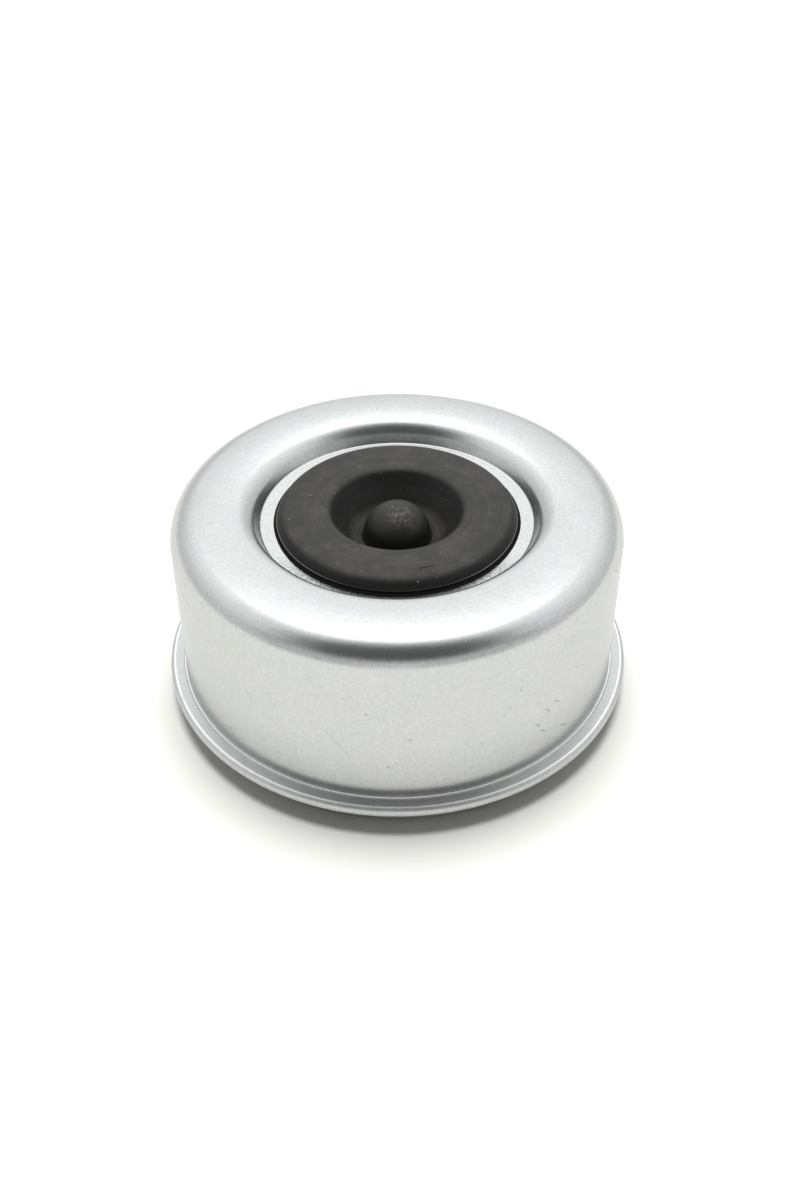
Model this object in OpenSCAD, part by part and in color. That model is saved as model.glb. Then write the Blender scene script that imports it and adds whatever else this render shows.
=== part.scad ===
// Drive-in grease cap for a wheel hub: a drawn sheet-steel cap with a folded flange,
// and the rubber plug that closes the hole in its recessed top.

/* [Cap body] */
// Outside diameter of the straight wall and of the skirt that is pressed into the hub
body_d = 62; // [56:0.5:72]
// Thickness of the steel sheet, the same all over the pressing
sheet_t = 0.8; // [0.7:0.05:1.1]
// Height of the crest of the top ring above the top of the flange
body_h = 25.1; // [16:0.1:40]

/* [Flange and skirt] */
// How far the folded flange stands out past the wall
flange_out = 2.3; // [1.9:0.1:4]
// Rounding of the flange's upper and lower outside edges
flange_edge_r = 0.6; // [0.3:0.05:0.7]
// Small radius where the skirt turns out into the flange
fold_r = 0.35; // [0.2:0.05:0.5]
// Width of the small step that the folding die leaves round the foot of the wall
step_w = 0.27; // [0.1:0.01:0.5]
// Height of that step above the flange
step_h = 0.3; // [0.1:0.05:0.6]
// Height of the press-in skirt below the flange
skirt_h = 3.15; // [2.2:0.05:8]
// Bevel round the lower edge of the skirt, which leads it into the hub
lead_in = 0.4; // [0.2:0.05:0.6]

/* [Top ring and recess] */
// Outside radius of the shoulder between the wall and the top ring
shoulder_r = 3.9; // [2.5:0.1:5]
// How far the highest line of the top ring lies inside the middle of the ring
crest_inset = 0.1; // [0:0.1:1]
// Radius of the gentle crown across the top ring
crown_r = 18; // [14:0.5:40]
// Outside radius of the bend where the top ring turns down into the recess
rim_r = 1.9; // [1.4:0.1:2.4]
// Depth of the recess floor below the crest
recess_depth = 2.9; // [2.2:0.05:4]
// Slope of the recess wall, measured from level
recess_slope = 61; // [50:1:70]
// Width of the flat floor that shows round the plug, on each side
floor_margin = 1.75; // [1:0.05:2.2]
// Radius in the corner between the recess wall and the floor
corner_r = 0.3; // [0.2:0.05:0.6]
// Diameter of the plug hole in the floor
hole_d = 26.6; // [24:0.1:28]

/* [Plug head] */
// Diameter of the plug's head
head_d = 33; // [31:0.1:34]
// Height of the head above the recess floor
head_h = 1.85; // [1.8:0.05:2.4]
// Rounding of the head's upper edge
head_edge_r = 1.7; // [0.8:0.05:1.75]
// Width of the thin lip that spreads out under the head
brim_w = 0.5; // [0.3:0.05:0.7]
// Thickness of that lip at its rim
brim_t = 0.1; // [0.05:0.05:0.15]

/* [Plug dish and nub] */
// Diameter at which the flat top of the head turns down into the dish
dish_d = 19; // [18.6:0.1:22]
// Depth of the dish below the top of the head
dish_depth = 5; // [4:0.1:5.2]
// Slope of the dish's side, measured from level
dish_slope = 58; // [56:1:66]
// Rounding of the dish's upper edge
dish_edge_r = 0.8; // [0.6:0.1:1.2]
// Diameter of the domed nub in the middle of the dish
nub_d = 9.3; // [8.6:0.1:9.6]
// How far the nub rises above the top of the head
nub_rise = 0.25; // [0:0.05:1]
// How much the nub's side leans out towards its foot, in degrees
nub_flare = 12; // [4:1:18]
// Radius where the nub and the dish's side run out into the bottom of the dish
valley_r = 0.5; // [0.4:0.05:0.6]

/* [Plug neck] */
// Clearance between the plug's neck and the edge of the hole, all round
neck_clear = 0.1; // [0.05:0.05:0.2]
// How far the retaining lip spreads past the hole, on each side
lip_out = 1.2; // [0.8:0.1:1.6]
// Height of the retaining lip below the sheet
lip_h = 4.8; // [4.4:0.1:6]
// Lead-in taper of the retaining lip, on each side
lip_taper = 1.9; // [1:0.1:2.4]
// Depth of the lip's upright edge, just under the sheet
lip_edge = 0.7; // [0.5:0.1:1]
// Thickness of the rubber round the hollow underside
plug_wall = 2.4; // [1.8:0.1:2.8]
// Thickness of the rubber under the bottom of the dish
plug_skin = 1.3; // [1:0.1:1.9]

/* [Show] */
// Piece to draw, or all of them

/* [Hidden] */
$fn = 96;
arc_step = 10;
groove_open = 25;
zinc = [0.76, 0.78, 0.79];
rubber = [0.13, 0.13, 0.14];

body_r = body_d / 2;
brim_r = head_d / 2 + brim_w;
floor_r = brim_r + floor_margin;
flange_r = body_r + flange_out;
flange_top = skirt_h + 2 * sheet_t;
crest_z = flange_top + body_h;
floor_z = crest_z - recess_depth;

// Points along an arc of the section, from one angle to another, both in degrees
function arc(centre, radius, from, to) =
    let (steps = max(1, ceil(abs(to - from) / arc_step)))
    [for (i = [0:steps]) centre + radius * dir(from + (to - from) * i / steps)];
function dir(angle) = [cos(angle), sin(angle)];

// Centres of the pressing's bends, each in the half section [radius, height]
crown_c = [(floor_r + body_r) / 2 - crest_inset, crest_z - crown_r];
shoulder_tilt = asin((body_r - shoulder_r - crown_c.x) / (crown_r - shoulder_r));
shoulder_c = crown_c + (crown_r - shoulder_r) * dir(90 - shoulder_tilt);
corner_c = [floor_r - corner_r * tan(recess_slope / 2), floor_z + corner_r];
flange_upper_c = [flange_r - flange_edge_r, flange_top - flange_edge_r];
flange_lower_c = [flange_r - flange_edge_r, skirt_h + flange_edge_r];
upper_fold_c = [body_r + fold_r, flange_top + fold_r];
lower_fold_c = [body_r + fold_r, skirt_h - fold_r];

// The rim bend touches the recess wall on one side and the crown on the other
wall_dir = dir(recess_slope);
from_crown = [floor_r, floor_z] - rim_r * dir(recess_slope + 90) - crown_c;
along = from_crown * wall_dir;
rim_reach = sqrt(along * along - from_crown * from_crown + pow(crown_r - rim_r, 2)) - along;
rim_c = crown_c + from_crown + rim_reach * wall_dir;
rim_tilt = asin((crown_c.x - rim_c.x) / (crown_r - rim_r));

// Outside of the sheet from the hole to the skirt, then its inside back to the hole
cap_outline = concat(
    [[hole_d / 2, floor_z]],
    arc(corner_c, corner_r, 270, 270 + recess_slope),
    arc(rim_c, rim_r, 90 + recess_slope, 90 + rim_tilt),
    arc(crown_c, crown_r, 90 + rim_tilt, 90 - shoulder_tilt),
    arc(shoulder_c, shoulder_r, 90 - shoulder_tilt, 0),
    [[body_r, flange_top + step_h], [body_r + step_w, flange_top + step_h]],
    [[body_r + step_w, flange_top]],
    arc(flange_upper_c, flange_edge_r, 90, 0),
    arc(flange_lower_c, flange_edge_r, 0, -90),
    arc(lower_fold_c, fold_r, 90, 180),
    [[body_r, lead_in], [body_r - lead_in, 0], [body_r - sheet_t, 0]],
    arc(lower_fold_c, fold_r + sheet_t, 180, 90 + groove_open),
    arc(upper_fold_c, fold_r + sheet_t, 270 - groove_open, 180),
    arc(shoulder_c, shoulder_r - sheet_t, 0, 90 - shoulder_tilt),
    arc(crown_c, crown_r - sheet_t, 90 - shoulder_tilt, 90 + rim_tilt),
    arc(rim_c, rim_r - sheet_t, 90 + rim_tilt, 90 + recess_slope),
    arc(corner_c, corner_r + sheet_t, 270 + recess_slope, 270),
    [[hole_d / 2, floor_z - sheet_t]]
);

// Heights and centres of the plug's section
head_top = floor_z + head_h;
dish_z = head_top - dish_depth;
nub_c = [0, head_top + nub_rise - nub_d / 2];
nub_foot = nub_c + nub_d / 2 * dir(nub_flare);
valley_z = dish_z + valley_r;
nub_valley_z = valley_z - valley_r * sin(nub_flare);
nub_valley_c = [
    nub_foot.x + (nub_foot.y - nub_valley_z) * tan(nub_flare) + valley_r * cos(nub_flare),
    valley_z
];
dish_edge_c = [dish_d / 2, head_top - dish_edge_r];
dish_side_h = dish_depth - (dish_edge_r + valley_r) * (1 - cos(dish_slope));
dish_side_w = dish_side_h / tan(dish_slope);
side_valley_c = [
    dish_edge_c.x - (dish_edge_r + valley_r) * sin(dish_slope) - dish_side_w,
    valley_z
];
head_edge_c = [head_d / 2 - head_edge_r, head_top - head_edge_r];
neck_r = hole_d / 2 - neck_clear;
lip_r = hole_d / 2 + lip_out;
lip_foot_r = lip_r - lip_taper;
hollow_r = lip_foot_r - plug_wall;
lip_top = floor_z - sheet_t;
lip_z = lip_top - lip_h;

// The plug's outline from the tip of its nub, over the head and round the neck
plug_outline = concat(
    arc(nub_c, nub_d / 2, 90, nub_flare),
    arc(nub_valley_c, valley_r, 180 + nub_flare, 270),
    arc(side_valley_c, valley_r, 270, 270 + dish_slope),
    arc(dish_edge_c, dish_edge_r, 90 + dish_slope, 90),
    arc(head_edge_c, head_edge_r, 90, 0),
    [[brim_r, floor_z + brim_t], [brim_r, floor_z]],
    [[neck_r, floor_z], [neck_r, lip_top], [lip_r, lip_top]],
    [[lip_r, lip_top - lip_edge], [lip_foot_r, lip_z], [hollow_r, lip_z]],
    [[hollow_r, dish_z - plug_skin], [0, dish_z - plug_skin]]
);

// Drawn cap: wall, shoulder, top ring, recess and folded flange are one bent sheet
module cap_shell() {
    color(zinc) rotate_extrude() polygon(cap_outline);
}

// Moulded plug: dished head with a nub, a neck through the hole and a retaining lip
module rubber_plug() {
    color(rubber) rotate_extrude() polygon(plug_outline);
}

cap_shell();
rubber_plug();
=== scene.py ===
"""Drive-in hub grease cap: a zinc-plated pressing closed by a black rubber plug, standing on its skirt."""

import math
import random

import bmesh
import bpy
from mathutils import Matrix, Vector


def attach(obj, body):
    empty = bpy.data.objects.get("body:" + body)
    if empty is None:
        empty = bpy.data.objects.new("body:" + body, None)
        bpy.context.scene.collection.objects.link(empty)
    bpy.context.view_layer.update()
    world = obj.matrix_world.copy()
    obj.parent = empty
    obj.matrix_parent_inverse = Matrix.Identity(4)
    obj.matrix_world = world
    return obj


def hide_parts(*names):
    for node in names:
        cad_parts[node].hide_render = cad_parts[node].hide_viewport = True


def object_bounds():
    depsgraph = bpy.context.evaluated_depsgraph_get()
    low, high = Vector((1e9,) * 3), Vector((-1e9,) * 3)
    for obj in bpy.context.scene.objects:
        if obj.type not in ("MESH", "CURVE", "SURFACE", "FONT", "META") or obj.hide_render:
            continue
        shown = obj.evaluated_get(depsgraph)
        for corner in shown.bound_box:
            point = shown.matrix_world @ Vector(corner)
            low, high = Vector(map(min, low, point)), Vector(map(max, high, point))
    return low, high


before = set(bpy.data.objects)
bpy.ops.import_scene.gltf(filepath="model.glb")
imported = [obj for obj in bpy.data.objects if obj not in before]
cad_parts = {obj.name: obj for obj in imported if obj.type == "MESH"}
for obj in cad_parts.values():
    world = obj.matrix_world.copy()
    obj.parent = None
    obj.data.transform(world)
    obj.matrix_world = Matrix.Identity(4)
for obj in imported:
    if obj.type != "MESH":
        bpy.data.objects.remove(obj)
cad_low, cad_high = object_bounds()
MM = 0.001

# View: the camera looks down at the cap from the front, close enough for the round edges to open
# towards it. It stands a little to the right, so that the cap lies left of the picture's middle.
VIEW_RISE = math.radians(39.86)
VIEW_ROLL = math.radians(-0.24)
VIEW_DISTANCE = 191.3 * MM
VIEW_SIDE = 0.37 * MM
VIEW_HEIGHT = 12.3 * MM
aim = Vector((VIEW_SIDE, 0, VIEW_HEIGHT))
towards_camera = Vector((0, -math.cos(VIEW_RISE), math.sin(VIEW_RISE)))
stand = Matrix.Translation(aim + VIEW_DISTANCE * towards_camera)
facing = (-towards_camera).to_track_quat("-Z", "Y").to_matrix().to_4x4()
camera_data = bpy.data.cameras.new("view")
camera_data.sensor_width = 36
camera_data.lens = 39.75
camera_data.clip_start = 10 * MM
camera = bpy.data.objects.new("view", camera_data)
camera.matrix_world = stand @ facing @ Matrix.Rotation(VIEW_ROLL, 4, "Z")
bpy.context.scene.collection.objects.link(camera)
bpy.context.scene.camera = camera
bpy.context.scene.view_settings.view_transform = "Standard"


# Light: a bright white room with a soft box over the far side. The side behind the camera is dim
# above eye level, which draws the dark bands on the shoulder and in the recess. One broad lamp,
# nearly overhead, lights the matt surfaces and leaves the soft shadow in front of the cap.
class Wire:
    """A socket in a node tree. Arithmetic on it adds Math nodes to the tree."""

    def __init__(self, tree, socket=None):
        self.tree = tree
        self.socket = socket

    def add(self, kind, settings=None, sockets=None, output=0):
        """Adds a node: its settings are set first, then its sockets are given values or wires."""
        made = self.tree.nodes.new("ShaderNode" + kind)
        for name, value in (settings or {}).items():
            setattr(made, name, value)
        for name, value in (sockets or {}).items():
            if isinstance(value, Wire):
                self.tree.links.new(value.socket, made.inputs[name])
            else:
                made.inputs[name].default_value = value
        return Wire(self.tree, made.outputs[output])

    def into(self, node, name):
        """Leads this wire to a socket of one of the nodes that the tree started with."""
        self.tree.links.new(self.socket, self.tree.nodes[node].inputs[name])

    def maths(self, operation, *values):
        return self.add("Math", {"operation": operation}, dict(enumerate((self, *values))))

    def vector(self, operation, *values, output=0):
        return self.add("VectorMath", {"operation": operation}, dict(enumerate((self, *values))), output)

    def dot(self, axis):
        return self.vector("DOT_PRODUCT", axis, output="Value")

    def rise(self, low, high):
        """0 at low, 1 at high, with a soft step between; low may be the larger."""
        settings = {"interpolation_type": "SMOOTHSTEP"}
        return self.add("MapRange", settings, {"Value": self, "From Min": low, "From Max": high})

    def __add__(self, other):
        return self.maths("ADD", other)

    def __sub__(self, other):
        return self.maths("SUBTRACT", other)

    def __rsub__(self, other):
        return self.maths("MULTIPLY_ADD", -1, other)

    def __mul__(self, other):
        return self.maths("MULTIPLY", other)

    __radd__ = __add__
    __rmul__ = __mul__


RIGHT = (1, 0, 0)
BACK = (0, 1, 0)
UP = (0, 0, 1)
ROOM_COLOUR = (0.985, 1, 1.012, 1)
ROOM_STRENGTH = 1.03
WALL_LIGHT = 0.835
BACK_LIGHT = 0.177
HIGH_BACK_LIGHT = 0.15
BOX_LIGHT = 0.76
GLOW_LIGHT = 0.12
CAMERA_SIDE_LOSS = 0.88
SIDES_LOSS = 0.244
CORNERS_LOSS = 0.3
CAMERA_SIDE_AT = (-90, 47.6)
CORNER_AT = (-30, 24)
BOX_AT = (90, 64.8)
LAMP_AT = (90, 82.5)


def cos_deg(angle):
    return math.cos(math.radians(angle))


def sin_deg(angle):
    return math.sin(math.radians(angle))


def sky_axis(azimuth, elevation):
    """Unit vector to a place in the room; azimuth 90 is behind the cap, as the camera sees it."""
    level = cos_deg(elevation)
    return (cos_deg(azimuth) * level, sin_deg(azimuth) * level, sin_deg(elevation))


def patch_of_sky(direction, place, reach, core):
    """1 within core degrees of a place in the room, fading to 0 at reach degrees from it."""
    return direction.dot(sky_axis(*place)).rise(cos_deg(reach), cos_deg(core))


world = bpy.data.worlds.new("studio")
bpy.context.scene.world = world
world.use_nodes = True
direction = Wire(world.node_tree).add("TexCoord", output="Generated")
sideways = direction.dot(RIGHT).maths("ABSOLUTE")
backwards = direction.dot(BACK)
upwards = direction.dot(UP)
mirrored = direction.add("CombineXYZ", None, {"X": sideways, "Y": backwards, "Z": upwards})
walls = WALL_LIGHT + BACK_LIGHT * backwards.rise(-0.774, -0.297)
high_back = upwards.rise(0, 0.7) * backwards.rise(-0.2, 0.4)
camera_side = patch_of_sky(direction, CAMERA_SIDE_AT, reach=55.4, core=23.8)
camera_side = camera_side * upwards.rise(0.233, 0.558)
sides = sideways.rise(0, 0.4) * upwards.rise(0.75, 0.2)
corners = patch_of_sky(mirrored, CORNER_AT, reach=13.7, core=0)
dimmed = (walls + HIGH_BACK_LIGHT * high_back) * (1 - CAMERA_SIDE_LOSS * camera_side)
dimmed = dimmed * (1 - SIDES_LOSS * sides) * (1 - CORNERS_LOSS * corners)
soft_box = BOX_LIGHT * patch_of_sky(direction, BOX_AT, reach=26.5, core=16)
glow = GLOW_LIGHT * patch_of_sky(direction, BOX_AT, reach=50, core=20)
(ROOM_STRENGTH * (dimmed + soft_box + glow)).into("Background", "Strength")
world.node_tree.nodes["Background"].inputs["Color"].default_value = ROOM_COLOUR

lamp_data = bpy.data.lights.new("key", "SUN")
lamp_data.angle = math.radians(28)
lamp_data.energy = 5.2
lamp = bpy.data.objects.new("key", lamp_data)
lamp.matrix_world = Vector(sky_axis(*LAMP_AT)).to_track_quat("Z", "Y").to_matrix().to_4x4()
lamp.visible_glossy = False
bpy.context.scene.collection.objects.link(lamp)

# Floor: one wide sheet of matt white paper, laid flat. The lower edge of the cap's skirt stands
# on it, at height 0.
FLOOR_HALF = 1.5
FLOOR_SIDES = [(-1, -1), (1, -1), (1, 1), (-1, 1)]
PAPER_COLOUR = (0.468, 0.465, 0.445, 1)
SHADER = "Principled BSDF"


def finish(name, constants):
    """A new material, with the same value all over on some of its shader's sockets."""
    material = bpy.data.materials.new(name)
    material.use_nodes = True
    for socket, value in constants.items():
        material.node_tree.nodes[SHADER].inputs[socket].default_value = value
    return material


floor_mesh = bpy.data.meshes.new("floor")
floor_corners = [(x * FLOOR_HALF, y * FLOOR_HALF, 0) for x, y in FLOOR_SIDES]
floor_mesh.from_pydata(floor_corners, [], [(0, 1, 2, 3)])
matt_white = {"Base Color": PAPER_COLOUR, "Roughness": 0.9, "Specular IOR Level": 0.1}
floor_mesh.materials.append(finish("white_paper", matt_white))
floor = bpy.data.objects.new("floor", floor_mesh)
bpy.context.scene.collection.objects.link(floor)

# Cap shell: one pressing drawn from 0.8 mm sheet steel and bright zinc plated. Recess, top ring,
# shoulder, wall, folded flange and press-in skirt are one bent sheet, so one outline is turned.
# The skirt is driven into a hub until the flange stops it.
SHEET = 0.8
BODY_R = 31.0
HOLE_R = 13.3
FLOOR_R = 18.75
CORNER_R = 0.3
RECESS_DEPTH = 2.9
CREST_INSET = 0.1
SHOULDER_R = 3.9
LEDGE_W = 0.27
LEDGE_H = 0.3
LEDGE_R = 0.07
LEDGE_LEAN = 15
FLANGE_EDGE = 0.72
FOLD_R = 0.35
GROOVE_OPEN = 25
SKIRT_H = 3.15
LEAD_IN = 0.4
# The flange's flat top runs a little past the middle of its edge's rounding, then eases into it
FLANGE_FLAT = 0.1
FLANGE_EASE = Vector((0.07, -0.012))
FLANGE_EDGE_FROM = 68
flange_r = min(-cad_low.x, -cad_low.y, cad_high.x, cad_high.y) / MM
crest_z = cad_high.z / MM
crest_r = (FLOOR_R + BODY_R) / 2 - CREST_INSET
recess_z = crest_z - RECESS_DEPTH
flange_top = SKIRT_H + 2 * SHEET
edge_r = flange_r - FLANGE_EDGE
ledge_z = flange_top + LEDGE_H
ledge_r = BODY_R + LEDGE_W

# These three change round the cap, each from its size at the back to its size in front. The front
# begins and is full where this share of the radius lies in front of the axis.
RECESS_SLOPE = (60, 66)
RIM_R = (3.2, 2.15)
CROWN_R = (24, 46)
FRONT_BEGINS = 0.0625
FRONT_FULL = 0.6875


def way(angle):
    return Vector((cos_deg(angle), sin_deg(angle)))


def spread(centre, radius, start, end, count):
    """Points (radius, height) along an arc of the section, from one angle to another."""
    return [centre + radius * way(start + (end - start) * i / count) for i in range(count + 1)]


def arc(centre, radius, start, end, step):
    """The same, with the points no more than step degrees apart."""
    return spread(Vector(centre), radius, start, end, max(2, math.ceil(abs(end - start) / step)))


SEGMENTS = 288
WELD = 0.0002 * MM
SHARP = math.radians(30)


def turn(name, outline_at):
    """Turns an outline of (radius, height) in mm about the axis; it may change with the angle."""
    vertices = []
    for i in range(SEGMENTS):
        angle = 2 * math.pi * i / SEGMENTS
        outline = outline_at(angle)
        vertices += [(r * MM * math.cos(angle), r * MM * math.sin(angle), z * MM) for r, z in outline]
    count = len(outline)
    ends_on_axis = outline[-1].x == 0
    rows = count - 1 if ends_on_axis else count
    faces = []
    for i in range(SEGMENTS):
        here = i * count
        there = (i + 1) % SEGMENTS * count
        for j in range(rows):
            k = (j + 1) % count
            faces.append((here + j, here + k, there + k, there + j))
    mesh = bpy.data.meshes.new(name)
    mesh.from_pydata(vertices, [], faces)
    solid = bmesh.new()
    solid.from_mesh(mesh)
    bmesh.ops.remove_doubles(solid, verts=solid.verts, dist=WELD)
    bmesh.ops.recalc_face_normals(solid, faces=solid.faces)
    solid.to_mesh(mesh)
    solid.free()
    mesh.shade_smooth()
    mesh.set_sharp_from_angle(angle=SHARP)
    turned = bpy.data.objects.new(name, mesh)
    bpy.context.scene.collection.objects.link(turned)
    return turned


fold_c = Vector((BODY_R + FOLD_R, flange_top + FOLD_R))
skirt_fold_c = Vector((BODY_R + FOLD_R, SKIRT_H - FOLD_R))
flat_end = Vector((edge_r + FLANGE_FLAT, flange_top))
step_flange_and_skirt = [
    *arc((BODY_R + LEDGE_R, ledge_z + LEDGE_R), LEDGE_R, 180, 270, 15),
    *arc((ledge_r - LEDGE_R, ledge_z - LEDGE_R), LEDGE_R, 90, LEDGE_LEAN, 12),
    *arc((ledge_r + 2 * LEDGE_R, flange_top + LEDGE_R), LEDGE_R, 180 + LEDGE_LEAN, 270, 15),
    flat_end,
    flat_end + FLANGE_EASE,
    *arc((edge_r, flange_top - FLANGE_EDGE), FLANGE_EDGE, FLANGE_EDGE_FROM, 0, 7),
    *arc((edge_r, SKIRT_H + FLANGE_EDGE), FLANGE_EDGE, 0, -90, 7),
    *arc(skirt_fold_c, FOLD_R, 90, 180, 15),
    Vector((BODY_R, LEAD_IN)),
    Vector((BODY_R - LEAD_IN, 0)),
    Vector((BODY_R - SHEET, 0)),
    *arc(skirt_fold_c, FOLD_R + SHEET, 180, 90 + GROOVE_OPEN, 10),
    *arc(fold_c, FOLD_R + SHEET, 270 - GROOVE_OPEN, 180, 10),
]


def pressing(angle):
    """The sheet's outline, from the hole over the outside to the skirt and back on the inside."""
    share = (-math.sin(angle) - FRONT_BEGINS) / (FRONT_FULL - FRONT_BEGINS)
    share = max(0, min(1, share))
    front = share * share * (3 - 2 * share)
    slope, rim_r, crown_r = [a + (b - a) * front for a, b in (RECESS_SLOPE, RIM_R, CROWN_R)]
    crown_c = Vector((crest_r, crest_z - crown_r))
    shoulder_share = (BODY_R - SHOULDER_R - crest_r) / (crown_r - SHOULDER_R)
    shoulder_tilt = math.degrees(math.asin(shoulder_share))
    shoulder_c = crown_c + (crown_r - SHOULDER_R) * way(90 - shoulder_tilt)
    corner_c = Vector((FLOOR_R - CORNER_R * math.tan(math.radians(slope / 2)), recess_z + CORNER_R))
    # The rim bend touches the recess wall on one side and the crown on the other
    from_crown = Vector((FLOOR_R, recess_z)) - rim_r * way(slope + 90) - crown_c
    along = from_crown.dot(way(slope))
    reach = math.sqrt(along ** 2 - from_crown.length_squared + (crown_r - rim_r) ** 2) - along
    rim_c = crown_c + from_crown + reach * way(slope)
    rim_tilt = math.degrees(math.asin((crest_r - rim_c.x) / (crown_r - rim_r)))
    return [
        Vector((HOLE_R, recess_z)),
        *spread(corner_c, CORNER_R, 270, 270 + slope, 5),
        *spread(rim_c, rim_r, 90 + slope, 90 + rim_tilt, 14),
        *spread(crown_c, crown_r, 90 + rim_tilt, 90 - shoulder_tilt, 10),
        *spread(shoulder_c, SHOULDER_R, 90 - shoulder_tilt, 0, 22),
        *step_flange_and_skirt,
        *spread(shoulder_c, SHOULDER_R - SHEET, 0, 90 - shoulder_tilt, 9),
        *spread(crown_c, crown_r - SHEET, 90 - shoulder_tilt, 90 + rim_tilt, 4),
        *spread(rim_c, rim_r - SHEET, 90 + rim_tilt, 90 + slope, 6),
        *spread(corner_c, CORNER_R + SHEET, 270 + slope, 270, 5),
        Vector((HOLE_R, recess_z - SHEET)),
    ]


cap = turn("cap_pressing", pressing)

# Its plate is satin bright: a fine grain, faint cool and warm clouds, lines from the drawing die up
# the wall and round the top, and the nicks and specks of a stored part.
COOL_ZINC = (0.585, 0.606, 0.59, 1)
WARM_ZINC = (0.606, 0.603, 0.602, 1)
BRIGHTEST = 1.6
RING_LINES_PER_MM = 3.2
RING_LINE_DRIFT = 0.08
SCRATCH_DEPTH = 0.35
PIT_DEPTH = 0.5
# Where the die lines and painted shades begin and where they are full: heights, radii, and a
# distance towards the back
RING_LINES_ABOVE = (27.5, 29)
FOOT_SHADE_BELOW = (15, 4.5)
# Bounds of the painted shade on the front of the recess floor
RECESS_SHADE_INSIDE = (FLOOR_R + 0.15, FLOOR_R - 0.15)
RECESS_SHADE_OUTSIDE = (16.4, 16.8)
RECESS_SHADE_BELOW = (27.3, 27.1)
RECESS_SHADE_IN_FRONT = (-8.5, -12)
# A speck is a place and a width; a nick or a scratch is its two ends and a width
SPECKS = [
    ((-24.88, -4.84, 29.83), 0.26), ((22.88, -6.47, 29.8), 0.18), ((23.52, -11.61, 29.78), 0.16),
    ((28.62, -11.56, 26.74), 0.3), ((22.52, -21.11, 26.71), 0.22), ((15.46, -26.85, 19.96), 0.26),
    ((14.16, -27.58, 17.54), 0.24), ((-3.87, -30.76, 19.57), 0.24), ((-1.25, -30.97, 10.46), 0.26),
    ((-22.35, -21.46, 7.99), 0.24), ((1.55, -30.93, 15.32), 0.24), ((23.32, -20.41, 17.88), 0.2),
    ((25.46, -17.67, 10.19), 0.28), ((11.2, 28.9, 15.2), 0.25), ((-24.1, 19.5, 18.6), 0.22),
]
NICKS = [
    ((20.5, -23.24, 14.6), (21.0, -22.8, 14.0), 0.16),
    ((19.3, -24.2, 13.95), (19.7, -23.9, 13.4), 0.2),
    ((18.1, -25.15, 12.1), (18.5, -24.85, 11.5), 0.2),
    ((18.9, -24.57, 10.5), (19.3, -24.25, 10.0), 0.22),
    ((21.9, -21.93, 8.9), (22.4, -21.42, 8.3), 0.2),
    ((-27.39, -14.19, 26.82), (-24.55, -18.53, 27.08), 0.13),
    ((-28.2, -12.85, 24.2), (-26.9, -15.4, 24.6), 0.12),
    ((13.4, 27.95, 21.0), (15.3, 26.95, 19.2), 0.14),
]
SCRATCHES = [
    ((-9.12, -29.62, 15.64), (-7.4, -30.1, 13.5), 0.17),
    ((-7.4, -30.1, 13.5), (-5.82, -30.42, 11.39), 0.11),
    ((19.81, -23.83, 22.6), (23.13, -20.63, 24.46), 0.2),
    ((-19.5, -24.09, 17.9), (-18.9, -24.57, 17.1), 0.16),
    ((-26.3, 16.4, 12.0), (-22.6, 21.2, 15.5), 0.15),
]


def millimetres(material):
    """The place on the part in its own frame, counted in millimetres."""
    place = Wire(material.node_tree).add("TexCoord", output="Object")
    return place.vector("MULTIPLY", (1 / MM, 1 / MM, 1 / MM))


def from_axis(place):
    """Distance from the part's axis."""
    return place.vector("MULTIPLY", (1, 1, 0)).vector("LENGTH", output="Value")


def noise(place, grains, detail=2, roughness=0.5):
    """Noise over a place, 0 to 1, with so many grains to the millimetre along each axis."""
    counted = place.vector("MULTIPLY", grains)
    sockets = {"Vector": counted, "Scale": 1, "Detail": detail, "Roughness": roughness}
    return place.add("TexNoise", None, sockets)


def scattered(place, per_mm):
    """Distance to the nearest of many scattered points, counted in their spacing."""
    sockets = {"Vector": place.vector("MULTIPLY", (per_mm, per_mm, per_mm)), "Scale": 1}
    return place.add("TexVoronoi", None, sockets, "Distance")


def near(wire, value, reach, core):
    """1 within core of a value, fading to 0 at reach from it."""
    return (wire - value).maths("ABSOLUTE").rise(reach, core)


def strongest(wires):
    """The largest of several wires at each place."""
    largest = wires[0]
    for wire in wires[1:]:
        largest = largest.maths("MAXIMUM", wire)
    return largest


def scaled(vector, factor):
    """A colour or a vector times the wire of a number."""
    return factor.add("VectorMath", {"operation": "SCALE"}, {0: vector, "Scale": factor})


# The places of the colours among a Mix node's sockets
MIX_SHARE, MIX_FIRST, MIX_SECOND, MIX_RESULT = 0, 6, 7, 2


def mixed(share, first, second):
    """A colour between two, with a wire as the share of the second."""
    sockets = {MIX_SHARE: share, MIX_FIRST: first, MIX_SECOND: second}
    return share.add("Mix", {"data_type": "RGBA"}, sockets, MIX_RESULT)


def bump(height, depth, strength=1, under=None):
    """The normal of a surface that a wire raises by up to depth millimetres over another one."""
    sockets = {"Height": height, "Distance": depth * MM, "Strength": strength}
    if under is not None:
        sockets["Normal"] = under
    return height.add("Bump", None, sockets)


def spot(place, centre, width):
    """1 in the middle of a speck, fading to 0 at its edge."""
    return place.vector("DISTANCE", centre, output="Value").rise(width, 0.35 * width)


def stroke(place, start, end, width):
    """1 on a scratch between two places, fading to 0 at its edge."""
    span = Vector(end) - Vector(start)
    offset = place.vector("SUBTRACT", start)
    share = offset.dot(tuple(span / span.length_squared)).maths("MAXIMUM", 0).maths("MINIMUM", 1)
    foot = scaled(tuple(span), share)
    return offset.vector("DISTANCE", foot, output="Value").rise(width, 0.3 * width)


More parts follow.
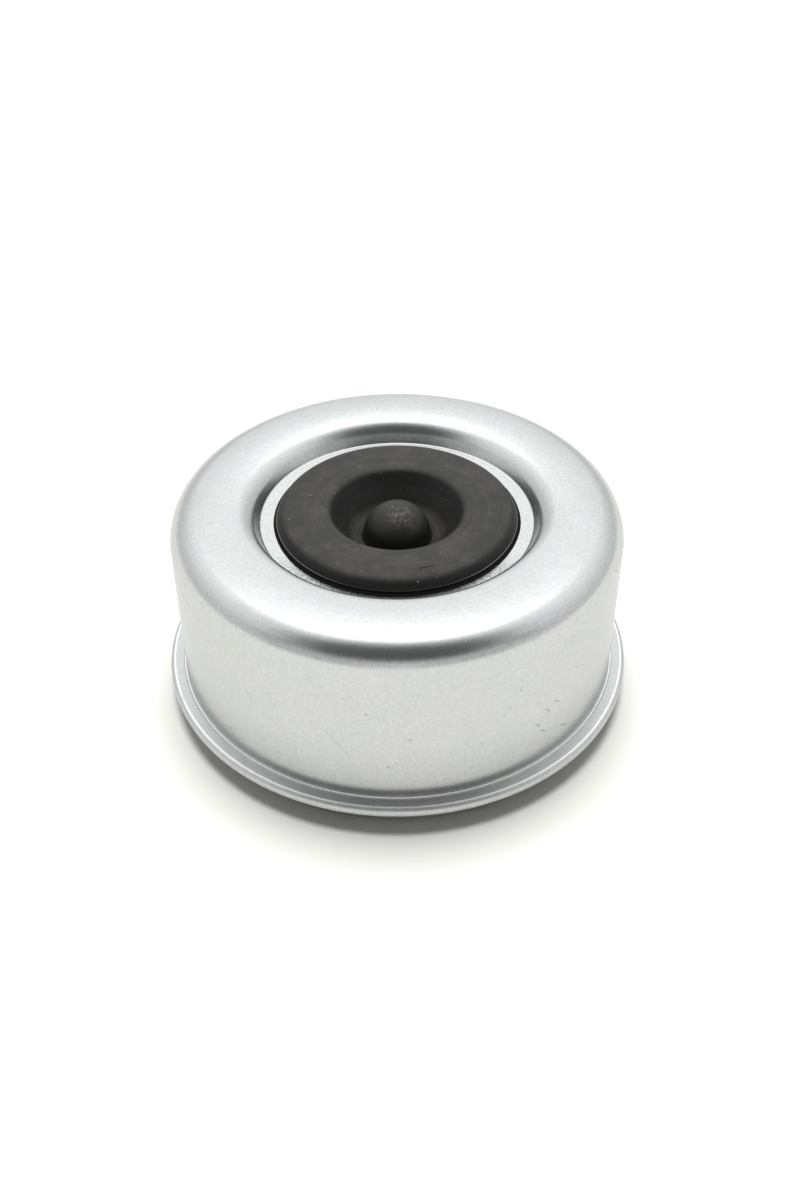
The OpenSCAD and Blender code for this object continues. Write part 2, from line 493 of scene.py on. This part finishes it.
zinc = finish("bright_zinc_plate", {"Metallic": 1, "Specular Tint": (0.88, 0.88, 0.88, 1)})
cap_place = millimetres(zinc)
cap_radius = from_axis(cap_place)
cap_height = cap_place.dot(UP)
plate_grain = noise(cap_place, (2.7, 2.7, 2.7), 3, 0.7)
plate_cloud = noise(cap_place, (0.11, 0.11, 0.16), 3, 0.55)
blotch = noise(cap_place, (0.45, 0.45, 0.6), 3, 0.6)
wave = noise(cap_place, (0.16, 0.16, 0.12))

wall_lines = noise(cap_place, (2.4, 2.4, 0.09), 3, 0.6)
drift_x = RING_LINE_DRIFT * cap_place.dot(RIGHT)
drift_y = RING_LINE_DRIFT * cap_place.dot(BACK)
ring_place = {"X": RING_LINES_PER_MM * cap_radius, "Y": drift_x, "Z": drift_y}
ring_lines = noise(cap_place.add("CombineXYZ", None, ring_place), (1, 1, 1), 2, 0.6)
on_top = cap_height.rise(*RING_LINES_ABOVE)
die_lines = wall_lines * (1 - on_top) + ring_lines * on_top

specks = [spot(cap_place, *speck) for speck in SPECKS]
nicks = [stroke(cap_place, *nick) for nick in NICKS]
scratches = [SCRATCH_DEPTH * stroke(cap_place, *scratch) for scratch in SCRATCHES]
pits = PIT_DEPTH * scattered(cap_place, 0.42).rise(0.075, 0.03) * blotch.rise(0.5, 0.6)
worn = strongest([*specks, *nicks, *scratches, pits])

# The front of the recess floor is darkened in a speckled grain, as painted shade where the plug's dark
# edge is mirrored. The wall is darkened towards its foot as painted shade, the flange is the roughest
# part, and painted highlights brighten its edge and the corner of the step.
# Painted shade: the front of the recess floor beside the plug is darkened in a speckled grain
shaded_recess_floor = cap_radius.rise(*RECESS_SHADE_INSIDE) * cap_radius.rise(*RECESS_SHADE_OUTSIDE)
shaded_recess_floor = shaded_recess_floor * cap_height.rise(*RECESS_SHADE_BELOW)
recess_shade_grain = noise(cap_place, (3, 3, 3), 3, 0.75).rise(0.42, 0.62)
painted_recess_shade = shaded_recess_floor * cap_place.dot(BACK).rise(*RECESS_SHADE_IN_FRONT) * recess_shade_grain
# Painted shade: the wall is darkened towards its foot, above the flange
painted_foot_shade = cap_height.rise(*FOOT_SHADE_BELOW) * cap_height.rise(ledge_z - 0.05, ledge_z + 0.05)
flange = cap_height.rise(ledge_z + 0.15, ledge_z - 0.05) * cap_radius.rise(BODY_R + 0.05, BODY_R + 0.2)
# Painted highlights: bright lines on the flange's outer edge and on the corner of the step
edge_highlight = near(cap_radius, edge_r + 0.12, 0.16, 0.03)
edge_highlight = edge_highlight * cap_height.rise(flange_top - 0.15, flange_top - 0.05)
step_highlight = near(cap_radius, ledge_r - 0.04, 0.12, 0.02)
step_highlight = step_highlight * cap_height.rise(ledge_z - 0.15, ledge_z - 0.05) * flange
painted_edge_highlights = strongest([edge_highlight, step_highlight]) * blotch.rise(0.2, 0.5)

uneven = (0.46 - 0.14 * on_top) * (plate_grain - 0.5) + 0.08 * (die_lines - 0.5) + 0.06 * (blotch - 0.5)
# The shade takes in the painted foot shade, the painted recess shade and the painted edge highlights
shade = (1 + uneven - 0.16 * painted_foot_shade) * (1 - 0.3 * worn - 0.5 * painted_recess_shade) * (1 + 1.4 * painted_edge_highlights)
zinc_tint = mixed(plate_cloud.rise(0.32, 0.68), COOL_ZINC, WARM_ZINC)
zinc_rough = 0.245 + 0.08 * (plate_grain - 0.5) + 0.05 * (plate_cloud - 0.5) + 0.15 * worn + 0.22 * flange
grain_normal = bump(plate_grain + 0.5 * die_lines, 0.008, 0.6)
scaled(zinc_tint, shade.maths("MINIMUM", BRIGHTEST)).into(SHADER, "Base Color")
zinc_rough.into(SHADER, "Roughness")
bump(wave - 0.25 * worn, 0.05, under=grain_normal).into(SHADER, "Normal")
cap.data.materials.append(zinc)
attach(cap, "root")
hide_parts("cap_shell")

# Rubber plug: one black moulding pushed through the hole. Its head lies on the recess floor, a
# dish with a domed nub in the middle, and a lip under the sheet holds it. A fine ridge and torn
# flash run round the head's foot, where the two halves of the mould met.
HEAD_R = 16.5
HEAD_H = 1.85
HEAD_EDGE = 1.6
HEAD_INSET = 0.08
HEAD_LEAN = 13
RIDGE_OUT = 0.02
RIDGE_H = 0.1
RIDGE_FOOT = 0.42
UNDERCUT = Vector((0.06, 0.12))
FLASH_W = 0.5
FLASH_T = 0.04
FLASH_LEAST = 0.6
FLASH_MEAN = 0.86
FLASH_SWING = 0.13
FLASH_WAVES = (3, 5, 8, 13, 21, 34, 55, 89)
DISH_R = 9.95
DISH_DEPTH = 5.0
DISH_SLOPE = 58
DISH_EDGE = 1.3
BOWL_R = 3.0
BOWL_FROM = 20
NUB_R = 4.65
NUB_RISE = 0.25
NUB_FLARE = 12
NUB_FOOT_R = 0.5
NUB_FOOT_RISE = 0.1
NECK_CLEAR = 0.1
LIP_OUT = 1.2
LIP_H = 4.8
LIP_EDGE = 0.7
LIP_TAPER = 1.9
LIP_W = 4.3
BOTTOM_T = 1.3
head_top = recess_z + HEAD_H
dish_z = head_top - DISH_DEPTH
nub_c = Vector((0, head_top + NUB_RISE - NUB_R))
nub_foot = nub_c + NUB_R * way(NUB_FLARE)
nub_base = dish_z + NUB_FOOT_RISE
nub_drop = nub_foot.y - nub_base - NUB_FOOT_R * (1 - sin_deg(NUB_FLARE))
nub_valley_r = nub_foot.x + nub_drop * math.tan(math.radians(NUB_FLARE)) + NUB_FOOT_R * cos_deg(NUB_FLARE)
side_h = DISH_DEPTH - (DISH_EDGE + BOWL_R) * (1 - cos_deg(DISH_SLOPE))
side_w = side_h / math.tan(math.radians(DISH_SLOPE))
bowl_r = DISH_R - (DISH_EDGE + BOWL_R) * sin_deg(DISH_SLOPE) - side_w
ridge_z = recess_z + RIDGE_FOOT
neck_r = HOLE_R - NECK_CLEAR
lip_r = HOLE_R + LIP_OUT
lip_top = recess_z - SHEET
lip_z = lip_top - LIP_H
random.seed(7)
tears = [(n, random.uniform(0.25, 1) / n ** 0.5, random.uniform(0, 6.28)) for n in FLASH_WAVES]


def moulding(angle):
    """The plug's outline. The thin flash round its foot is ragged where it was torn off."""
    ragged = sum(size * math.sin(n * angle + phase) for n, size, phase in tears)
    flash_share = max(FLASH_LEAST, min(1, FLASH_MEAN + FLASH_SWING * ragged))
    flash_r = HEAD_R + FLASH_W * flash_share
    return [
        *arc(nub_c, NUB_R, 90, NUB_FLARE, 4),
        *arc((nub_valley_r, nub_base + NUB_FOOT_R), NUB_FOOT_R, 180 + NUB_FLARE, 270, 6),
        *arc((bowl_r, dish_z + BOWL_R), BOWL_R, 270 + BOWL_FROM, 270 + DISH_SLOPE, 4),
        *arc((DISH_R, head_top - DISH_EDGE), DISH_EDGE, 90 + DISH_SLOPE, 90, 6),
        Vector(((DISH_R + HEAD_R - HEAD_EDGE) / 2, head_top)),
        *arc((HEAD_R - HEAD_INSET - HEAD_EDGE, head_top - HEAD_EDGE), HEAD_EDGE, 90, HEAD_LEAN, 6),
        Vector((HEAD_R + RIDGE_OUT, ridge_z + RIDGE_H)),
        Vector((HEAD_R, ridge_z)),
        Vector((HEAD_R, ridge_z)) - UNDERCUT,
        Vector((flash_r, recess_z + FLASH_T)),
        Vector((flash_r, recess_z)),
        Vector((neck_r, recess_z)),
        Vector((neck_r, lip_top)),
        Vector((lip_r, lip_top)),
        Vector((lip_r, lip_top - LIP_EDGE)),
        Vector((lip_r - LIP_TAPER, lip_z)),
        Vector((lip_r - LIP_W, lip_z)),
        Vector((lip_r - LIP_W, dish_z - BOTTOM_T)),
        Vector((0, dish_z - BOTTOM_T)),
    ]


plug = turn("plug_moulding", moulding)

# Moulded rubber is matt black. Warm grey is laid on for dust, and as painted top light on the faces
# that look up. The mould's turning marks show as faint rings, dust lies in specks, a patch on the
# nub is dust and a painted highlight, and a crumb has left one dark dent in front.
CLEAN_RUBBER = (0.0072, 0.0069, 0.0066, 1)
DUSTY_AND_LIT_RUBBER = (0.105, 0.1, 0.091, 1)
DUST_SPOTS = [
    ((-3.06, 6.01, 27.6), 0.22), ((-11.86, 2.94, 28.8), 0.2), ((-14.56, -2.62, 28.8), 0.18),
    ((2.67, -15.6, 28.3), 0.22), ((-4.91, -5.82, 24.6), 0.2), ((4.65, -6.33, 24.6), 0.2),
    ((5.1, -14.9, 28.6), 0.16), ((-7.6, -12.2, 28.8), 0.15), ((9.6, -4.4, 28.3), 0.15),
]
DENT_STROKES = [
    ((3.0, -13.35, 28.8), (4.75, -12.95, 28.8), 0.16),
    ((3.0, -13.35, 28.8), (3.1, -13.9, 28.8), 0.12),
]
# The patch on the nub's top is dust and a painted highlight
NUB_DUST_AND_HIGHLIGHT_PLACE = (0.4, -1.6, 28.9)
NUB_DUST_AND_HIGHLIGHT_WIDTH = 2.4
CREASE_R = 5.3
# Where painted light and painted shade begin and where they are full: heights, radii, and a
# distance to either side
CREASE_BELOW = (26.2, 25.2)
HEAD_TOP_LIGHT_INSIDE = (16.3, 15.6)
DISH_TOP_LIGHT_INSIDE = (8.6, 7.2)
RIDGE_HIGHLIGHT_BEYOND = (5, 14)
# Radius of each pale arc, a painted highlight along a mould ring, how far it reaches to both sides,
# and how far it is full
PALE_ARCS = [(12.6, 0.5, 0.1), (10.9, 0.45, 0.1)]
rubber = finish("black_rubber", {"Specular IOR Level": 0.26})
plug_place = millimetres(rubber)
plug_radius = from_axis(plug_place)
plug_height = plug_place.dot(UP)
facing_up = plug_place.add("NewGeometry", output="Normal").dot(UP)
rubber_grain = noise(plug_place, (3.5, 3.5, 3.5), 3, 0.7)
rubber_cloud = noise(plug_place, (0.3, 0.3, 0.5), 4, 0.6)
wobble = noise(plug_place, (0.12, 0.12, 0.12), 1)
mould_rings = (9.5 * plug_radius + 3 * wobble).maths("SINE")

loose_dust = scattered(plug_place, 0.9).rise(0.11, 0.03) * rubber_cloud.rise(0.47, 0.6)
dust_spots = [0.8 * spot(plug_place, *dust_spot) for dust_spot in DUST_SPOTS]
dust = strongest([loose_dust, *dust_spots])
dust_grain = noise(plug_place, (1.6, 1.6, 1.6), 3, 0.7).rise(0.42, 0.75)
nub_dust_and_highlight = spot(plug_place, NUB_DUST_AND_HIGHLIGHT_PLACE, NUB_DUST_AND_HIGHLIGHT_WIDTH) * dust_grain
outer_arc, inner_arc = [near(plug_radius, *pale_arc) for pale_arc in PALE_ARCS]
top_light_depth = 0.09 + 0.13 * rubber_cloud.rise(0.35, 0.75) + 0.03 * (outer_arc + inner_arc)
# Painted top light: the faces that look up, on the head and in the dish, are paled
head_top_light = facing_up.rise(0.7, 0.99) * plug_radius.rise(*HEAD_TOP_LIGHT_INSIDE)
dish_top_light = 0.75 * facing_up.rise(0.3, 0.8) * plug_radius.rise(*DISH_TOP_LIGHT_INSIDE)
painted_top_light = strongest([head_top_light, dish_top_light]) * top_light_depth

# Painted shade darkens the groove round the nub and the foot below the ridge, where the undercut's
# shadow lies, and a painted highlight pales the ridge at the sides.
dent = strongest([stroke(plug_place, *dent_stroke) for dent_stroke in DENT_STROKES])
# Painted shade in the groove round the nub
crease_shade = near(plug_radius, CREASE_R, 0.4, 0.1) * plug_height.rise(*CREASE_BELOW)
# Painted shade on the foot below the ridge, where the undercut's shadow lies
foot = plug_radius.rise(HEAD_R - 0.1, HEAD_R - 0.06) * plug_height.rise(ridge_z + 0.04, ridge_z)
# Painted highlight on the ridge at the sides
ridge_highlight = plug_place.dot(RIGHT).maths("ABSOLUTE").rise(*RIDGE_HIGHLIGHT_BEYOND)
ridge_highlight = ridge_highlight * plug_radius.rise(HEAD_R - 0.09, HEAD_R - 0.05)
ridge_highlight = ridge_highlight * plug_height.rise(ridge_z + 0.02, ridge_z + 0.06)

# Warm grey is laid on for dust and for painted light: the top light and the nub's and ridge's highlights
dust_and_painted_light = painted_top_light + 0.65 * nub_dust_and_highlight + 0.7 * ridge_highlight + dust
rubber_tint = mixed(dust_and_painted_light, CLEAN_RUBBER, DUSTY_AND_LIT_RUBBER)
rubber_shade = (1 + 0.75 * (rubber_grain - 0.5) + 0.05 * mould_rings) * (1 - 0.85 * dent)
# Painted shade: the groove round the nub and the foot below the ridge are darkened
rubber_shade = rubber_shade * (1 - 0.5 * crease_shade) * (1 - 0.93 * foot)
rubber_rough = 0.46 + 0.12 * rubber_cloud + 0.2 * dust.maths("MINIMUM", 1) + 0.3 * foot
skin_normal = bump(rubber_grain + 0.12 * mould_rings, 0.01, 0.6)
scaled(rubber_tint, rubber_shade).into(SHADER, "Base Color")
rubber_rough.into(SHADER, "Roughness")
bump(0.5 * rubber_cloud - dent + 0.3 * dust, 0.06, under=skin_normal).into(SHADER, "Normal")
plug.data.materials.append(rubber)
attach(plug, "root")
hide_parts("rubber_plug")
